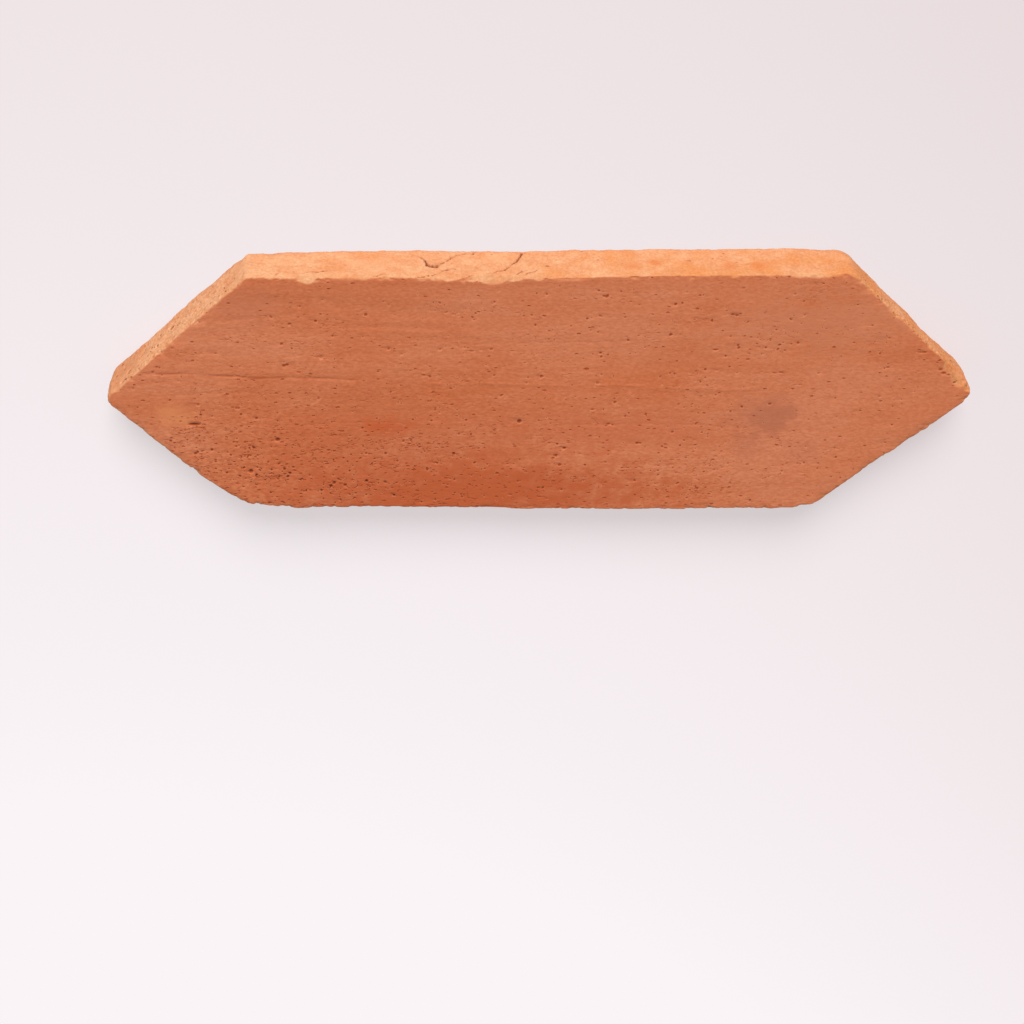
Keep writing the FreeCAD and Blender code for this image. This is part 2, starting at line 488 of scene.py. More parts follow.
# %% Open the cracks
# Half-width, depth, then points of (x, distance below the face)
CRACKS = (
    (0.42, 1.3, ((-45.5, 13.1), (-42.6, 11), (-42.1, 7.9), (-40, 7.4), (-36.6, 9.2), (-33.8, 12.2),
                 (-30.5, 14.2), (-25.6, 15.6))),
    (1.10, 1.9, ((-41.8, 7.4), (-40.4, 7.2), (-38.8, 7.4))),
    (0.42, 1.0, ((-21, 3.2), (-18.2, 4.4), (-16, 5.6), (-13.2, 8.6), (-10.9, 12), (-9.4, 15.6))),
    (0.34, 0.5, ((-45.5, 0.8), (-43.5, 1.4), (-40.4, 1.5), (-37.7, 3.7), (-34.5, 6.2))),
    (0.32, 0.4, ((-37.3, 4.8), (-35, 5.0), (-32.4, 5.6))),
    (0.32, 0.4, ((-31, 0.8), (-28.8, 0.9), (-27.2, 1.2))),
    (0.34, 0.5, ((-12.4, 2.6), (-10, 5))),
    (0.32, 0.4, ((-9, 2.1), (-5.4, 4.5))),
    (0.34, 0.5, ((-84, 2.9), (-80.7, 4.2), (-78.6, 3.6), (-75.4, 4.4))),
    (0.32, 0.4, ((-60.6, 0.8), (-58.6, 1.2), (-56.5, 2.3))),
    (0.32, 0.4, ((-92.6, 1.6), (-91.6, 3))),
)
LEAVES_AT, LEAVES_REACH = (-30.0, 5.0), (22.0, 8.0)
LEAF_LENGTH, LEAF_WIDTH, LEAF_DEPTH, LEAF_SEED = 8, 2.4, 0.8, 4.4
# How far the routes are shifted, the size of the noise that does it, and a seed for each way
RAGGED = ((0.6, 2.6, (31, 32)), (0.4, 0.9, (34, 35)))

back_ids = np.flatnonzero((normals[:, 1] > 0.3) & (np.abs(places[:, 0]) < SHOULDER))
back_view = np.column_stack((places[back_ids, 0], thickness - places[back_ids, 2]))
along_leaf = (back_view[:, 0] + back_view[:, 1]) / LEAF_LENGTH
across_leaf = (back_view[:, 0] - back_view[:, 1]) / LEAF_WIDTH
slanted = np.column_stack((along_leaf, across_leaf)).tolist()
leaves = -np.abs([noise.noise((along, across, LEAF_SEED)) for along, across in slanted])
window = 1 - np.linalg.norm((back_view - LEAVES_AT) / np.array(LEAVES_REACH), axis=1)
places[back_ids, 1] += LEAF_DEPTH * leaves * np.clip(2 * window, 0, 1)
ragged = back_view.copy()
for shift, cell, seeds in RAGGED:
    ragged += shift * np.column_stack([clay_noise(back_ids, cell, seed) for seed in seeds])
gape = 1 + 0.35 * clay_noise(back_ids, 3, 33)
for half_width, depth, route in CRACKS:
    gash = np.clip(1 - distance_to(ragged, route) / (half_width * gape), 0, 1) ** 0.7
    places[back_ids, 1] -= depth * gash
    # The crack's hollow sets the shade that the material paints in it
    hollow[back_ids] = np.maximum(hollow[back_ids], (0.7 + 0.4 * depth) * gash * gape)
print("cracks:", len(CRACKS))

# %% [markdown]
# ## Pores
# Gas, straw and sand leave pores in handmade clay: dents about a millimetre long, pulled along
# the face by the straight edge. They could be bump alone, but real dents catch the light on their
# lower lip, as in the photograph. The largest are put where it shows them.

# %% Press the pores that stand out
normals = clay_normals()
clay_tree = kdtree.KDTree(count)
for index, place in enumerate(places.tolist()):
    clay_tree.insert(place, index)
clay_tree.balance()


def press_pore(centre, grain, length, width, depth, dark):
    """Presses an oval pore into the clay next to a place, long along the grain."""
    spot, nearest, _ = clay_tree.find(centre)
    found = [index for _, index, _ in clay_tree.find_range(spot, length / 2)]
    away = places[found] - spot
    along = away @ grain
    across = np.linalg.norm(away - np.outer(along, grain), axis=1)
    dent = np.clip(1 - (2 * along / length) ** 2 - (2 * across / width) ** 2, 0, 1) ** 0.6
    places[found] -= normals[nearest] * (depth * dent)[:, None]
    # dark sets how much shade the material paints in the pore
    hollow[found] = np.maximum(hollow[found], dark * dent)


# Place on the face, length and width
PORES_SEEN = (
    (-120.5, -11.0, 5.0, 1.5), (-92.0, -18.0, 2.2, 1.7), (-26.3, 19.4, 2.7, 0.8), (-12.5, 19.5, 1.9, 0.7),
    (-89.8, 13.8, 1.8, 1.2), (-88.6, 14.2, 1.4, 1.2), (-79.3, 32.0, 1.3, 1.2), (-77.0, 41.0, 0.9, 0.8),
    (-73.6, 26.0, 1.2, 1.0), (-84.7, 38.0, 1.3, 0.9), (-81.2, -34.0, 1.2, 1.0), (-92.3, -35.5, 1.5, 1.0),
    (-103.7, -35.2, 1.2, 1.0), (-113.8, -26.7, 1.5, 1.0), (-109.8, -23.2, 1.0, 1.0), (-9.7, -43.7, 1.3, 0.9),
    (-41.4, -46.8, 1.2, 0.9), (-60.3, -34.5, 1.3, 0.9), (-112.5, 19.0, 1.5, 0.8), (-127.3, 21.4, 1.5, 0.8),
    (-40.3, 9.2, 1.0, 0.8), (-66.4, -6.0, 1.3, 0.8), (-38.0, 39.5, 1.0, 0.9), (-95.0, -46.6, 2.2, 1.2),
    (25.3, 33.3, 1.1, 0.9), (18.1, 18.3, 1.4, 1.1), (39.0, 15.2, 1.1, 0.9), (58.0, 19.4, 3.0, 0.9),
    (62.3, 34.4, 1.8, 1.0), (63.8, 33.9, 1.6, 1.0), (75.5, 20.5, 1.4, 1.0), (84.0, 21.8, 1.2, 0.9),
    (82.0, 9.7, 1.4, 0.9), (106.3, 22.2, 1.2, 0.9), (120.0, 11.4, 1.6, 0.9), (103.3, -1.9, 1.1, 0.9),
    (113.0, -7.5, 1.2, 0.9), (125.7, -14.0, 1.2, 1.0), (124.5, -21.7, 1.2, 0.9), (52.7, -27.8, 1.1, 0.9),
    (43.3, -31.5, 1.2, 0.9), (93.5, -30.8, 1.1, 0.9), (107.0, -37.5, 1.2, 0.9), (131.0, 18.1, 4.4, 0.8),
    (17.3, -5.8, 1.9, 0.9), (25.0, -3.0, 1.6, 1.1), (8.5, -22.8, 1.8, 1.4), (5.8, -26.5, 1.5, 1.1),
    (78.3, -48.2, 1.0, 1.3), (64.4, -49.6, 2.0, 1.0), (111.5, 29.6, 1.2, 0.9), (118.4, 24.0, 1.2, 0.9),
)
# The same on the broken +X tip
TIP_PORES = (
    (138.8, 10.4, 2.0, 1.2), (140.3, 9.0, 2.6, 1.3), (142.2, 8.0, 2.2, 0.9), (145.0, 4.6, 2.4, 0.9),
)
ALONG_X = np.array((1.0, 0.0, 0.0))
SEEN_DEPTH = 0.3                # of a pore's width
TIP_DROP, TIP_DEPTH = 0.6, 0.3  # how far below the face the broken tip lies, and how deep its pores are

for x, y, length, width in PORES_SEEN:
    press_pore((x, y, thickness), ALONG_X, length, width, SEEN_DEPTH * width, 0.6 + 0.5 * width)
for x, y, length, width in TIP_PORES:
    press_pore((x, y, thickness - TIP_DROP), ALONG_X, length, width, TIP_DEPTH, 1.0)
print("pores placed by the photograph:", len(PORES_SEEN) + len(TIP_PORES))

# %% [markdown]
# ## The many small pores
# The rest are scattered by a seeded generator, so that every run gives the same tile. Some come
# singly and many in little crowds. More are kept, and they are deeper, towards the -X end of the
# front half. The cut sides get their own, most of them round the -X point.

# %% Scatter the small pores
scatter = np.random.default_rng(27)
SINGLE_PORES, CROWDS, SIDE_PORES = 1000, 190, 1100
CROWDS_SEEN = ((-36, 37), (-27, 35), (-50, 23), (-34, 20), (78, 21), (116, 20), (52, -42), (-92, -34),
               (-72, -40))
SEEN_TRIES = 30                 # pores tried in a crowd that the photograph shows
LEFT_POINT_FROM = -125
KEPT, KEPT_LOW_LEFT, KEPT_LOW_MIDDLE = 0.36, 0.6, 0.25      # shares of the tried pores
FACE_DEPTH, SIDE_DEPTH = 0.26, 0.45                         # of a pore's width


def face_pore(x, y, size):
    """One small pore on the face, if the place is inside the outline."""
    low_left = np.clip((-20 - x) / 80, 0, 1) * np.clip((3 - y) / 25, 0, 1)
    low_middle = np.clip((-15 - y) / 20, 0, 1) * np.clip((90 - x) / 60, 0, 1)
    upper_left = np.clip(-x / 60, 0, 1) * np.clip(y / 20, 0, 1)
    kept = KEPT + KEPT_LOW_LEFT * low_left + KEPT_LOW_MIDDLE * low_middle
    if abs(x) + abs(y) > LEFT_POINT - 3 or abs(y) > LEFT_HALF - 2 or scatter.random() > kept:
        return
    turn = scatter.normal(0, 0.6)
    length = float(np.clip(size * scatter.lognormal(0, 0.3), 0.75, 2.0))
    width = max(0.75, length * scatter.uniform(0.5, 1.0))
    grain = np.array((np.cos(turn), np.sin(turn), 0.0))
    depth = FACE_DEPTH * width * scatter.uniform(0.4, 1) * (1 + 0.3 * low_left + 0.3 * low_middle)
    # dark sets the painted shade in the pore: more towards the front and -X, less at the back of the -X half
    dark = scatter.uniform(0.6, 1.4) + 0.4 * low_left + 0.3 * low_middle - 0.3 * upper_left
    if hollow[clay_tree.find((x, y, thickness))[1]] < 0.2:
        press_pore((x, y, thickness), grain, length, width, depth, dark)


for _ in range(SINGLE_PORES):
    face_pore(scatter.uniform(-150, 150), scatter.uniform(-50, 50), 0.95)
crowds = [(*middle, SEEN_TRIES) for middle in CROWDS_SEEN]
for _ in range(CROWDS):
    crowd_x = scatter.uniform(-150, 110) - scatter.uniform(0, 40)
    crowds.append((crowd_x, scatter.uniform(-50, 45), scatter.integers(3, 10)))
for crowd_x, crowd_y, tries in crowds:
    for _ in range(tries):
        face_pore(crowd_x + scatter.normal(0, 4.5), crowd_y + scatter.normal(0, 2.6), 0.85)
for _ in range(SIDE_PORES):
    at = scatter.integers(len(line))
    near_left_point = line[at, 0] < LEFT_POINT_FROM
    on_back = abs(line[at, 0]) < SHOULDER and line[at, 1] > 0
    if not near_left_point and scatter.random() < (0.9 if on_back else 0.65):
        continue
    grain = np.array((*np.roll(outward[at], 1) * (-1, 1), 0.0))
    length = float(np.clip(scatter.lognormal(0, 0.4), 0.7, 2.4)) * (1.15 if near_left_point else 1)
    width = max(0.65, length * scatter.uniform(0.4, 0.8))
    press_pore((*line[at], scatter.uniform(1, thickness - 1)), grain, length, width,
               SIDE_DEPTH * width, scatter.uniform(0.5, 1.1))
print("vertices in pores and cracks:", int((hollow > 0.2).sum()))

# %% [markdown]
# ## From sculpture to finished piece
# The sculpted mesh is several times denser than it has to be where the clay is smooth. A Decimate
# modifier merges the flat quads and keeps the triangles that carry pores and chips. Two mesh
# attributes go along with it, so that the material knows smooth skin from broken clay.

# %% Thin the mesh and hang it in the frame
MOST_TRIANGLES = 190000

places[:, 2] = np.maximum(places[:, 2], 0.0)
clay.vertices.foreach_set("co", (places * MM).astype(np.float32).ravel())
for name, values in (("skin", skin), ("hollow", hollow)):
    clay.attributes.new(name, "FLOAT", "POINT").data.foreach_set("value", values.astype(np.float32))
clay.update()
sculpted = placed("sculpted", clay)
thin = sculpted.modifiers.new("thin", "DECIMATE")
thin.ratio = MOST_TRIANGLES / (2 * len(clay.polygons))
tile_mesh = finished_mesh(sculpted, "picket_tile_terracotta")
bpy.data.objects.remove(sculpted)
bpy.data.meshes.remove(clay)
tile = placed("picket_tile_terracotta", tile_mesh)
tile_mesh.shade_smooth()
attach(tile, "root")
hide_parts("picket_tile")
print("triangles:", sum(len(face.vertices) - 2 for face in tile_mesh.polygons))

# %% [markdown]
# ## Small helpers for shader nodes
# A material is a tree of nodes. Typing each node, value and link in full hides what the tree
# does, so a few helpers add a node with its inputs, do a sum, make noise, stretch a range and mix
# two colours. Most give back an output that the next one can take.


# %% Node helpers
def plug(tree, socket, value):
    """Links a socket from another socket, or sets it to a plain value."""
    if isinstance(value, bpy.types.NodeSocket):
        tree.links.new(value, socket)
    else:
        socket.default_value = value


def empty_tree(owner):
    """The node tree of a material or a world, with nothing in it."""
    owner.use_nodes = True
    owner.node_tree.nodes.clear()
    return owner.node_tree


def wire(tree, kind, inputs=None, **settings):
    """Adds a node with its settings and inputs."""
    made = tree.nodes.new(kind)
    for name, value in settings.items():
        setattr(made, name, value)
    for key, value in (inputs or {}).items():
        plug(tree, made.inputs[key], value)
    return made


def sums(tree, operation, first, second=0.0, third=0.0):
    """The output of a Math node."""
    return wire(tree, "ShaderNodeMath", {0: first, 1: second, 2: third}, operation=operation).outputs[0]


def times(tree, first, second):
    """One value times another."""
    return sums(tree, "MULTIPLY", first, second)


def vectors(tree, operation, first, second=(0, 0, 0), third=(0, 0, 0)):
    """The output of a Vector Math node."""
    made = wire(tree, "ShaderNodeVectorMath", {0: first, 1: second, 2: third}, operation=operation)
    return made.outputs["Value" if operation in ("LENGTH", "DOT_PRODUCT") else "Vector"]


def clouds(tree, at, scale, detail):
    """The outputs of a Noise Texture node."""
    return wire(tree, "ShaderNodeTexNoise", {"Vector": at, "Scale": scale, "Detail": detail}).outputs


def spread(tree, value, low, high, to_low=0.0, to_high=1.0):
    """A value brought from one range to another, and held inside it."""
    return wire(tree, "ShaderNodeMapRange", {"Value": value, "From Min": low, "From Max": high,
                                             "To Min": to_low, "To Max": to_high}).outputs[0]


def mixed(tree, amount, first, second, blend="MIX"):
    """The colour output of a Mix node."""
    made = wire(tree, "ShaderNodeMix", None, data_type="RGBA", blend_type=blend)
    for key, value in ((0, amount), (6, first), (7, second)):
        plug(tree, made.inputs[key], value)
    return made.outputs[2]


def new_group(name, inputs, output):
    """A shader node group with named sockets: its tree, its inputs and its one output."""
    group = bpy.data.node_groups.new(name, "ShaderNodeTree")
    for socket, kind in inputs.items():
        group.interface.new_socket(socket, in_out="INPUT", socket_type=kind)
    group.interface.new_socket(output, in_out="OUTPUT", socket_type="NodeSocketFloat")
    starts, end = group.nodes.new("NodeGroupInput"), group.nodes.new("NodeGroupOutput")
    return group, starts.outputs, end.inputs[0]


HELPERS = (plug, empty_tree, wire, sums, times, vectors, clouds, spread, mixed, new_group)
print("node helpers:", [helper.__name__ for helper in HELPERS])

# %% [markdown]
# ## Effects that the clay uses more than once
# Stretched noise makes the drags of the straight edge on the face and the sandy mottle of the
# sides, so it is one group with a stretch that can be set. A smudge is a soft oval patch at a
# chosen place, for stains and for painted shade and light. Pinholes are the pores too small to
# model, as dark dots of painted shade in some cells of a Voronoi. Worm marks are short crooked
# scratches, the level lines of a noise, kept in patches only, which the material paints dark as shade.

# %% Node groups
VECTOR, FLOAT = "NodeSocketVector", "NodeSocketFloat"

drag_group, ends, out = new_group(
    "clay_drag", {"Place": VECTOR, "Stretch": VECTOR, "Detail": FLOAT}, "Value")
stretched = vectors(drag_group, "MULTIPLY", ends["Place"], ends["Stretch"])
drag_noise = wire(drag_group, "ShaderNodeTexNoise",
                  {"Vector": stretched, "Scale": 1.0, "Detail": ends["Detail"], "Roughness": 0.6})
drag_group.links.new(drag_noise.outputs["Fac"], out)

smudge_group, ends, out = new_group(
    "smudge", {"Place": VECTOR, "Centre": VECTOR, "Size": VECTOR}, "Mask")
off_centre = vectors(smudge_group, "SUBTRACT", ends["Place"], ends["Centre"])
share_out = vectors(smudge_group, "LENGTH", vectors(smudge_group, "DIVIDE", off_centre, ends["Size"]))
patchy = clouds(smudge_group, ends["Place"], 220.0, 4.0)["Fac"]
edge = sums(smudge_group, "MULTIPLY_ADD", patchy, 1.3, share_out)
stain = wire(smudge_group, "ShaderNodeMapRange", {"Value": edge, "From Min": 1.7, "From Max": 0.8},
             interpolation_type="SMOOTHSTEP")
smudge_group.links.new(stain.outputs[0], out)

pin_group, ends, out = new_group(
    "pinholes", {"Place": VECTOR, "Stretch": VECTOR, "Share": FLOAT, "Size": FLOAT}, "Mask")
squeezed = vectors(pin_group, "MULTIPLY", ends["Place"], ends["Stretch"])
ruffle = clouds(pin_group, squeezed, 2.5, 2.0)["Color"]
ruffled = vectors(pin_group, "MULTIPLY_ADD", ruffle, (0.35, 0.35, 0.35), squeezed)
cells = wire(pin_group, "ShaderNodeTexVoronoi", {"Vector": ruffled, "Scale": 1.0}, feature="F1")
lot = wire(pin_group, "ShaderNodeSeparateColor", {0: cells.outputs["Color"]})
chosen = sums(pin_group, "LESS_THAN", lot.outputs[0], ends["Share"])
size = times(pin_group, spread(pin_group, lot.outputs[1], 0.0, 1.0, 0.7, 2.3), ends["Size"])
hole = spread(pin_group, cells.outputs["Distance"], size, times(pin_group, size, 0.5))
depth = times(pin_group, chosen, spread(pin_group, lot.outputs[2], 0.0, 1.0, 0.25, 1.0))
pin_group.links.new(times(pin_group, hole, depth), out)

worm_group, ends, out = new_group("worm_marks", {"Place": VECTOR, "Stretch": VECTOR}, "Mask")
spaced = vectors(worm_group, "MULTIPLY", ends["Place"], ends["Stretch"])
winding = clouds(worm_group, spaced, 1.0, 1.0)["Fac"]
off_level = sums(worm_group, "ABSOLUTE", sums(worm_group, "SUBTRACT", winding, 0.5))
scratch = spread(worm_group, off_level, 0.045, 0.010)
breaks = clouds(worm_group, spaced, 1.9, 0.0)["Fac"]
short = times(worm_group, scratch, spread(worm_group, breaks, 0.53, 0.62))
area = clouds(worm_group, spaced, 0.3, 2.0)["Fac"]
worm_group.links.new(times(worm_group, short, spread(worm_group, area, 0.50, 0.60)), out)
print("node groups:", [group.name for group in (drag_group, smudge_group, pin_group, worm_group)])

# %% [markdown]
# ## Where the marks are
# One material covers the whole tile. It starts with masks: the mesh attributes tell skin from
# broken clay, and the shared groups give streaks, grain and pinholes. Marks crowd together where
# one slow noise is high, and that noise is raised towards the front and the -X end, as on the
# real tile.

# %% The terracotta material: masks
terracotta = bpy.data.materials.new("terracotta")
tree = empty_tree(terracotta)
place = wire(tree, "ShaderNodeTexCoord").outputs["Object"]
on_skin = wire(tree, "ShaderNodeAttribute", None, attribute_name="skin").outputs["Fac"]
in_hollow = wire(tree, "ShaderNodeAttribute", None, attribute_name="hollow").outputs["Fac"]


def use_group(group, **inputs):
    """The output of a shared group, placed in the material with its own values."""
    made = wire(tree, "ShaderNodeGroup", None, node_tree=group)
    for key, value in {"Place": place, **inputs}.items():
        plug(tree, made.inputs[key], value)
    return made.outputs[0]


def streaky(stretch, detail):
    """Noise stretched along the axes."""
    return use_group(drag_group, Stretch=stretch, Detail=detail)


def smudge(middle, half_size):
    """The mask of a soft oval patch, for a stain or for painted shade or light, given in millimetres."""
    return use_group(smudge_group, Centre=Vector(middle) * MM, Size=Vector(half_size) * MM)


flush = streaky((16, 34, 20), 3.0)
drags = streaky((20, 480, 60), 4.0)
bands = streaky((9, 110, 30), 2.0)
mottle = streaky((190, 190, 260), 4.0)
blush = streaky((70, 70, 90), 2.0)
face_grain = streaky((620, 1200, 900), 3.0)
side_grain = streaky((1100, 1100, 1100), 3.0)
grain = sums(tree, "MULTIPLY_ADD", sums(tree, "SUBTRACT", face_grain, side_grain), on_skin, side_grain)
crowd = streaky((70, 110, 70), 2.0)
along_x, along_y, _ = wire(tree, "ShaderNodeSeparateXYZ", {0: place}).outputs
off_skin = sums(tree, "SUBTRACT", 1.0, on_skin)
at_ends = spread(tree, sums(tree, "ABSOLUTE", along_x), (SHOULDER - 2) * MM, (SHOULDER + 8) * MM)
low_left = smudge((-92, -28, thickness), (66, 32, 30))
crowd = sums(tree, "MULTIPLY_ADD", crowd, 0.5, 0.25)
for pull, weight in ((low_left, 0.12), (along_y, -2.2), (sums(tree, "MAXIMUM", along_x, 0.0), -1.1)):
    crowd = sums(tree, "MULTIPLY_ADD", pull, weight, crowd)
small_pins = use_group(pin_group, Stretch=(400, 700, 560), Size=0.15,
                       Share=spread(tree, crowd, 0.48, 0.64, 0.18, 0.9))
large_pins = use_group(pin_group, Stretch=(210, 330, 270), Size=0.09,
                       Share=spread(tree, crowd, 0.48, 0.64, 0.15, 0.7))
pins = sums(tree, "MAXIMUM", small_pins, large_pins)
specks = use_group(pin_group, Stretch=(620, 620, 700), Size=0.16,
                   Share=spread(tree, at_ends, 0.0, 1.0, 0.4, 0.8))
flecks = use_group(pin_group, Stretch=(340, 360, 340), Share=0.05, Size=0.10)
worms = times(tree, use_group(worm_group, Stretch=(300, 480, 300)),
              spread(tree, crowd, 0.44, 0.68, 0.3, 1.0))
print("masks:", len(tree.nodes), "nodes")

# %% [markdown]
# ## The colours of the fired clay
# The struck face is a salmon red that flushes redder and paler in wide patches, with fine drags
# along it. The sides are paler and yellower, because the skin of fine red clay is missing there,
# and warmer towards the +X end. Grain darkens and lightens both.

# %% The terracotta material: colour
ROSY = (0.535, 0.142, 0.053, 1)
SALMON = (0.580, 0.183, 0.084, 1)
SANDY_SIDE = (0.540, 0.226, 0.099, 1)
PALE_SIDE = (0.575, 0.283, 0.141, 1)
ORANGE_SIDE = (0.540, 0.193, 0.059, 1)
# Painted shade: the dark inside pores, pinholes and scratches on the face
FACE_PORE_SHADE = (0.310, 0.053, 0.012, 1)
SCRATCH_SHADE = (0.390, 0.056, 0.013, 1)
# Partly torn skin and partly a painted highlight on the lip of a pore
TORN_LIP_AND_HIGHLIGHT = (0.640, 0.250, 0.130, 1)
# Painted shade on the sides, in cracks, specks and pores, and near black in the deepest
SIDE_PORE_SHADE = (0.180, 0.037, 0.008, 1)
DEEP_PORE_SHADE = (0.060, 0.014, 0.005, 1)
FLECK = (0.660, 0.330, 0.170, 1)
STREAK_DARK, STREAK_LIGHT = (0.965, 0.935, 0.905, 1), (1.035, 1.065, 1.095, 1)
GRAIN_DARK, GRAIN_LIGHT = (0.830, 0.690, 0.570, 1), (1.170, 1.310, 1.430, 1)

face_colour = mixed(tree, spread(tree, flush, 0.36, 0.64), ROSY, SALMON)
for streaks, strength in ((drags, 0.8), (bands, 0.7)):
    streak_shade = mixed(tree, spread(tree, streaks, 0.3, 0.7), STREAK_DARK, STREAK_LIGHT)
    face_colour = mixed(tree, strength, face_colour, streak_shade, "MULTIPLY")
paler = sums(tree, "MULTIPLY_ADD", along_x, -0.4, mottle)
side_colour = mixed(tree, spread(tree, paler, 0.38, 0.62), SANDY_SIDE, PALE_SIDE)
warmer = sums(tree, "MULTIPLY_ADD", along_x, 1.2, blush)
side_colour = mixed(tree, spread(tree, warmer, 0.50, 0.74, 0.0, 0.8), side_colour, ORANGE_SIDE)
colour = mixed(tree, on_skin, side_colour, face_colour)
grain_shade = mixed(tree, spread(tree, grain, 0.3, 0.7), GRAIN_DARK, GRAIN_LIGHT)
graininess = sums(tree, "MAXIMUM", spread(tree, crowd, 0.45, 0.68, 0.5, 1.0),
                  times(tree, off_skin, at_ends))
colour = mixed(tree, graininess, colour, grain_shade, "MULTIPLY")
colour = mixed(tree, times(tree, flecks, 0.45), colour, FLECK)
print("colours mixed so far:", len(tree.nodes), "nodes")

# %% [markdown]
# ## Stains, painted shade and painted light
# Firing and use have left a few stains on the face: a pale one near the -X point and grey smudges
# towards the +X end. The redder places lower down are partly the clay's own red and partly painted
# shade and painted red bounce light, and thin dark lines are painted shade in a ploughed groove.
# The +Y edge has some rusty blots. On the broken +X tip, brown is partly stain and partly painted
# shade, and an orange patch is painted warm light where the tip faces away from the lamp. Each is
# the same smudge with its own values, and shows only on the skin or only off it.

# %% The terracotta material: stains
GREY = (0.420, 0.132, 0.068, 1)
BROWN = (0.340, 0.090, 0.040, 1)
RUST = (0.500, 0.140, 0.038, 1)
# Painted shade for the upper wall of the ploughed groove, which faces away from the lamp
GROOVE_SHADE = (0.380, 0.080, 0.028, 1)
STAIN_DEPTH = 4

# Place and half-size in plan, strength and colour
FACE_STAINS_AND_PAINTED_LIGHT = (
    ((-127, -7), (10, 6.5), 0.9, (0.640, 0.215, 0.085, 1)),
    ((95, 30), (45, 18), 0.55, (0.560, 0.200, 0.101, 1)),
    ((-102, 39), (18, 10), 0.4, (0.500, 0.165, 0.085, 1)),
    # Redder and darker in the front half: partly the clay's own red, partly painted shade and painted red
    # bounce light
    ((25, -16), (58, 15), 0.45, (0.505, 0.108, 0.038, 1)),
    ((-75, -39), (18, 10), 0.5, (0.475, 0.098, 0.031, 1)),
    ((77, -9), (15, 11), 0.4, GREY),
    ((82, -7), (13, 9), 0.4, GREY),
    ((82, -12), (11, 11), 0.4, GREY),
    ((74, -22.5), (9, 9), 0.35, GREY),
    ((93.7, -25), (10, 8), 0.25, GREY),
    ((63, 34.2), (2.6, 1.5), 0.6, BROWN),
    ((-89.3, 13.9), (2, 1.2), 0.6, BROWN),
    # Redder and darker in the front half: partly the clay's own red, partly painted shade and painted red
    # bounce light
    ((-60, -26), (70, 34), 0.45, (0.500, 0.118, 0.045, 1)),
    ((-54, -12.5), (11, 5), 1.0, (0.500, 0.103, 0.032, 1)),
    # Painted shade along the ploughed groove near the -X end
    ((-128, 10.9), (10, 0.8), 0.5, GROOVE_SHADE),
    ((-111, 9.9), (10, 0.8), 0.4, GROOVE_SHADE),
    ((-97, 8.9), (10, 0.9), 0.7, GROOVE_SHADE),
    ((-79, 8.5), (11, 0.7), 0.25, GROOVE_SHADE),
    # Along the front edge: partly the clay's own red, mostly painted shade and painted red bounce light
    ((-20, -42), (94, 20), 0.95, (0.475, 0.098, 0.031, 1)),
)
# Place as x, y and distance below the face, half-size, strength and colour
SIDE_STAINS_AND_PAINTED_LIGHT = (
    ((60, 50.5, 5.6), (4, 3, 3), 0.6, RUST),
    ((70.7, 50.5, 6), (5, 3, 3), 0.6, RUST),
    ((-58, 49.5, 7), (16, 3, 7), 0.35, PALE_SIDE),
    ((35, 50.5, 7.7), (3.5, 3, 2.5), 0.6, RUST),
    ((27, 50.5, 6), (5, 3, 3), 0.5, RUST),
    ((-70, 49.5, 7), (5, 3, 3), 0.4, RUST),
    ((-146, 6, 8), (18, 16, 14), 0.7, (0.470, 0.182, 0.078, 1)),
    # These two browns on the broken +X tip are partly stain and partly painted shade in its pit and under
    # the broken rim
    ((141, 9.5, 1), (5, 4, 4), 0.5, (0.440, 0.120, 0.045, 1)),
    ((148.5, 3.5, 1.5), (6, 4, 4), 0.3, (0.480, 0.150, 0.062, 1)),
    # Painted warm light on a broken patch of the +X tip that faces away from the lamp
    ((146.3, 7.0, 1.5), (5, 4, 4), 0.6, (0.600, 0.220, 0.090, 1)),
)


def tinted(under, mask, where, strength, tint):
    """The colour under a stain or a patch of painted shade or light, turned to its tint where both masks are
    high.
    """
    shown = times(tree, times(tree, mask, where), strength)
    return mixed(tree, shown, under, tint)


for (x, y), half_size, strength, tint in FACE_STAINS_AND_PAINTED_LIGHT:
    colour = tinted(colour, smudge((x, y, thickness), (*half_size, STAIN_DEPTH)), on_skin, strength, tint)
for (x, y, below), half_size, strength, tint in SIDE_STAINS_AND_PAINTED_LIGHT:
    colour = tinted(colour, smudge((x, y, thickness - below), half_size), off_skin, strength, tint)
print("stains on the face:", len(FACE_STAINS_AND_PAINTED_LIGHT), "on the sides:", len(SIDE_STAINS_AND_PAINTED_LIGHT))

# %% [markdown]
# ## Painted shade in pores
# Pores, cracks, pinholes, specks and scratches are painted dark inside, as painted shade where little
# light gets in. The lip round a modelled pore is painted paler, partly torn skin and partly a painted
# highlight. The modelled ones are found by their attribute, and the pinholes and scratches by their
# masks. They come after the stains, so that no stain covers them.

# %% The terracotta material: pores
scratched = sums(tree, "MAXIMUM", times(tree, pins, 0.85), times(tree, worms, 0.4))
speckled = times(tree, off_skin, spread(tree, at_ends, 0.0, 1.0, 0.2, 0.7))
pinned = sums(tree, "MAXIMUM", times(tree, scratched, on_skin), times(tree, specks, speckled))
# A pale ring round each modelled pore, partly torn skin and partly a painted highlight
lip = times(tree, spread(tree, in_hollow, 0.02, 0.15), spread(tree, in_hollow, 0.5, 0.25, 0.0, 0.4))
colour = mixed(tree, lip, colour, TORN_LIP_AND_HIGHLIGHT)
# Painted shade in pinholes, specks and scratches
colour = mixed(tree, pinned, colour, mixed(tree, on_skin, SIDE_PORE_SHADE, SCRATCH_SHADE))
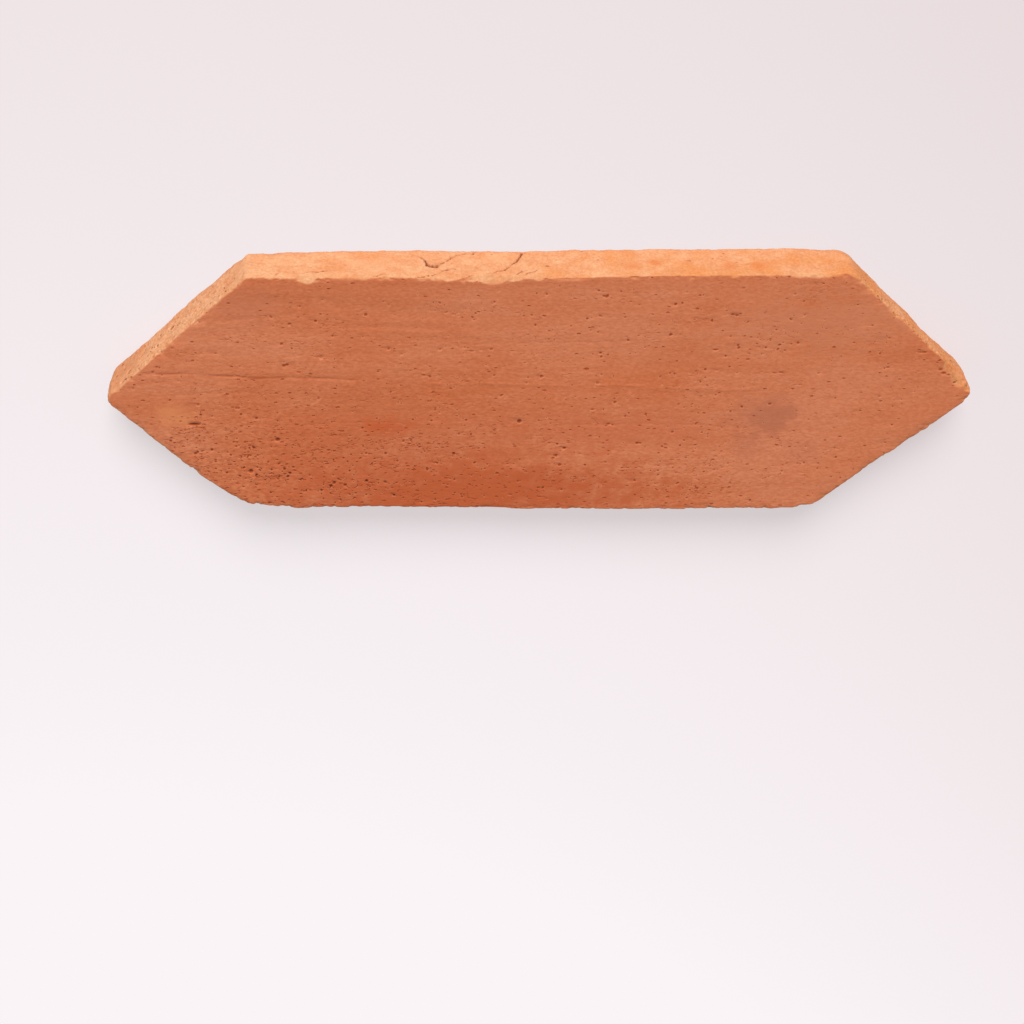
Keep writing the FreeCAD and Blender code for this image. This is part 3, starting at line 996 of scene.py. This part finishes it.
# Painted shade in the modelled pores and cracks
pore_shade = spread(tree, in_hollow, 0.25, 0.9, 0.0, 0.9)
colour = mixed(tree, pore_shade, colour, mixed(tree, on_skin, SIDE_PORE_SHADE, FACE_PORE_SHADE))
# Near black painted shade in the deepest pores and cracks
colour = mixed(tree, spread(tree, in_hollow, 1.0, 1.5, 0.0, 0.9), colour, DEEP_PORE_SHADE)
print("colours mixed in all:", len(tree.nodes), "nodes")

# %% [markdown]
# ## The feel of the surface
# Fired clay is matt, with the finest grain too small to model. Bump carries that grain, the fine
# drags and the pinholes. Sandy sides scatter light more than the struck face, so the roughness
# changes a little between the two. The weak specular is the same all over, so it is a plain number.

# %% The terracotta material: relief and roughness
SANDY_ROUGHNESS, SKIN_ROUGHNESS = 0.95, 0.84
SPECULAR = 0.2
BUMP_HEIGHT = 0.3 * MM

height = times(tree, drags, 0.14)
for relief, share in ((grain, 0.27), (pinned, -1.0), (times(tree, worms, on_skin), -0.3)):
    height = sums(tree, "MULTIPLY_ADD", relief, share, height)
bump = wire(tree, "ShaderNodeBump", {"Strength": 1.0, "Distance": BUMP_HEIGHT, "Height": height})
matt = spread(tree, on_skin, 0.0, 1.0, SANDY_ROUGHNESS, SKIN_ROUGHNESS)
body = wire(tree, "ShaderNodeBsdfPrincipled",
            {"Base Color": colour, "Roughness": matt, "Specular IOR Level": SPECULAR,
             "Normal": bump.outputs[0]})
wire(tree, "ShaderNodeOutputMaterial", {"Surface": body.outputs[0]})
tile_mesh.materials.append(terracotta)
print("material nodes:", len(tree.nodes))

# %% [markdown]
# ## The floor
# A sheet of pale paper holds the shadow. Its colour is painted brightest in front of the tile,
# towards -X, and falls off on both sides, as in the photograph: a painted pool of light. The camera
# sees it mostly as a flat tint, and behind the tile nearly all of it, so that the red glow of the
# tile on the paper stays faint.

# %% Stage
# The two ends of a painted fall-off of light on the paper
PAPER_DIM = (0.795, 0.697, 0.709, 1)
PAPER_BRIGHT = (0.957, 0.904, 0.924, 1)
FLOOR_HALF = 6.0
FLOOR_DROP = 0.2 * MM           # a hair below the bed, so that the two never share a plane
BRIGHTER_WAY = (-0.36, -0.58, 0.0)
SIDE_FALL = -0.9
FADE = (-0.19, 0.16)            # from the dim paper to the bright
BEHIND = (-0.01, 0.04)          # metres along Y over which the flat tint takes over
FLAT_SHARE = (0.6, 0.93)

stage = bmesh.new()
bmesh.ops.create_grid(stage, x_segments=1, y_segments=1, size=FLOOR_HALF)
floor_mesh = bpy.data.meshes.new("floor")
stage.to_mesh(floor_mesh)
stage.free()
floor = placed("floor", floor_mesh)
floor.location.z = -FLOOR_DROP


def seen_share(tree, share):
    """This share where the camera or a mirror looks, and nothing where light falls."""
    rays = wire(tree, "ShaderNodeLightPath").outputs
    mirrored = sums(tree, "MAXIMUM", rays["Is Glossy Ray"], rays["Is Transmission Ray"])
    return times(tree, sums(tree, "MAXIMUM", rays["Is Camera Ray"], mirrored), share)


paper = bpy.data.materials.new("pale_paper")
paper_tree = empty_tree(paper)
ground = wire(paper_tree, "ShaderNodeTexCoord").outputs["Object"]
across, behind, _ = wire(paper_tree, "ShaderNodeSeparateXYZ", {0: ground}).outputs
slant = vectors(paper_tree, "DOT_PRODUCT", ground, BRIGHTER_WAY)
fade = sums(paper_tree, "MULTIPLY_ADD", times(paper_tree, across, across), SIDE_FALL, slant)
pale = mixed(paper_tree, spread(paper_tree, fade, *FADE), PAPER_DIM, PAPER_BRIGHT)
sheet = wire(paper_tree, "ShaderNodeBsdfDiffuse", {"Color": pale}).outputs[0]
tint = wire(paper_tree, "ShaderNodeEmission", {"Color": pale, "Strength": 1.0}).outputs[0]
flat_share = seen_share(paper_tree, spread(paper_tree, behind, *BEHIND, *FLAT_SHARE))
laid = wire(paper_tree, "ShaderNodeMixShader", {0: flat_share, 1: sheet, 2: tint})
wire(paper_tree, "ShaderNodeOutputMaterial", {"Surface": laid.outputs[0]})
floor_mesh.materials.append(paper)
print("floor in metres:", 2 * FLOOR_HALF, "each way")

# %% [markdown]
# ## The sky
# An even white sky fills the shadows. The camera sees it as the dim end of the paper instead, so
# that floor and backdrop run into each other in low views.

# %% Sky
SKY = 0.375

sky = bpy.data.worlds.new("sky")
bpy.context.scene.world = sky
sky_tree = empty_tree(sky)
fill = wire(sky_tree, "ShaderNodeBackground", {"Color": (1, 1, 1, 1), "Strength": SKY}).outputs[0]
backdrop = wire(sky_tree, "ShaderNodeBackground", {"Color": PAPER_DIM, "Strength": 1.0}).outputs[0]
shown = wire(sky_tree, "ShaderNodeMixShader", {0: seen_share(sky_tree, 1.0), 1: fill, 2: backdrop})
wire(sky_tree, "ShaderNodeOutputWorld", {"Surface": shown.outputs[0]})
print("sky strength:", SKY)

# %% [markdown]
# ## The lamp
# The light is one wide lamp, low over the +Y edge as in the photograph, which makes that edge
# brighter than the face. A sun is as strong everywhere, so nothing falls off over the tile. Lamp
# and sky add up to one on a level surface, so that a colour renders about as it is written.

# %% Lamp
LAMP_STRENGTH = 1.25            # on a surface that faces the lamp, where 1 shows a colour as written
LAMP_HEIGHT = radians(30)
LAMP_SWING = radians(4)         # towards -X
LAMP_SOFTNESS = radians(28)

lamp_data = bpy.data.lights.new("window", "SUN")
lamp_data.energy = LAMP_STRENGTH * np.pi
lamp_data.angle = LAMP_SOFTNESS
lamp = placed("window", lamp_data)
level = np.cos(LAMP_HEIGHT)
lamp_way = Vector((-np.sin(LAMP_SWING) * level, np.cos(LAMP_SWING) * level, np.sin(LAMP_HEIGHT)))
lamp.location = lamp_way
lamp.rotation_euler = lamp_way.to_track_quat("Z", "Y").to_euler()
print("light on a level surface:", round(float(LAMP_STRENGTH * np.sin(LAMP_HEIGHT) + SKY), 3))

# %% [markdown]
# ## The camera
# The photograph shows the tile stood up. Here it lies flat, so the camera is set as the photograph
# held it to the face of the tile: tipped by 40 degrees, turned by 6 and rolled by less than one.
# The place and angles come from fitting a camera to the six edges of the face.

# %% Camera
FOCAL_PIXELS = 2300
PICTURE_PIXELS = 1024
SENSOR = 36.0
TIP, TURN, ROLL = radians(40.042), radians(6.0), radians(0.731)
CAMERA_PLACE = Vector((-95.1, 478.9, 631.9 + thickness)) * MM

view_data = bpy.data.cameras.new("camera")
view_data.sensor_width = SENSOR
view_data.lens = SENSOR * FOCAL_PIXELS / PICTURE_PIXELS
camera = placed("camera", view_data)
facing = Matrix.Rotation(-TIP, 4, "X") @ Matrix.Rotation(-TURN, 4, "Y") @ Matrix.Rotation(-ROLL, 4, "Z")
camera.matrix_world = Matrix.Translation(CAMERA_PLACE) @ facing
bpy.context.scene.camera = camera
bpy.context.scene.view_settings.view_transform = "Standard"
print("lens in mm:", round(view_data.lens, 1))
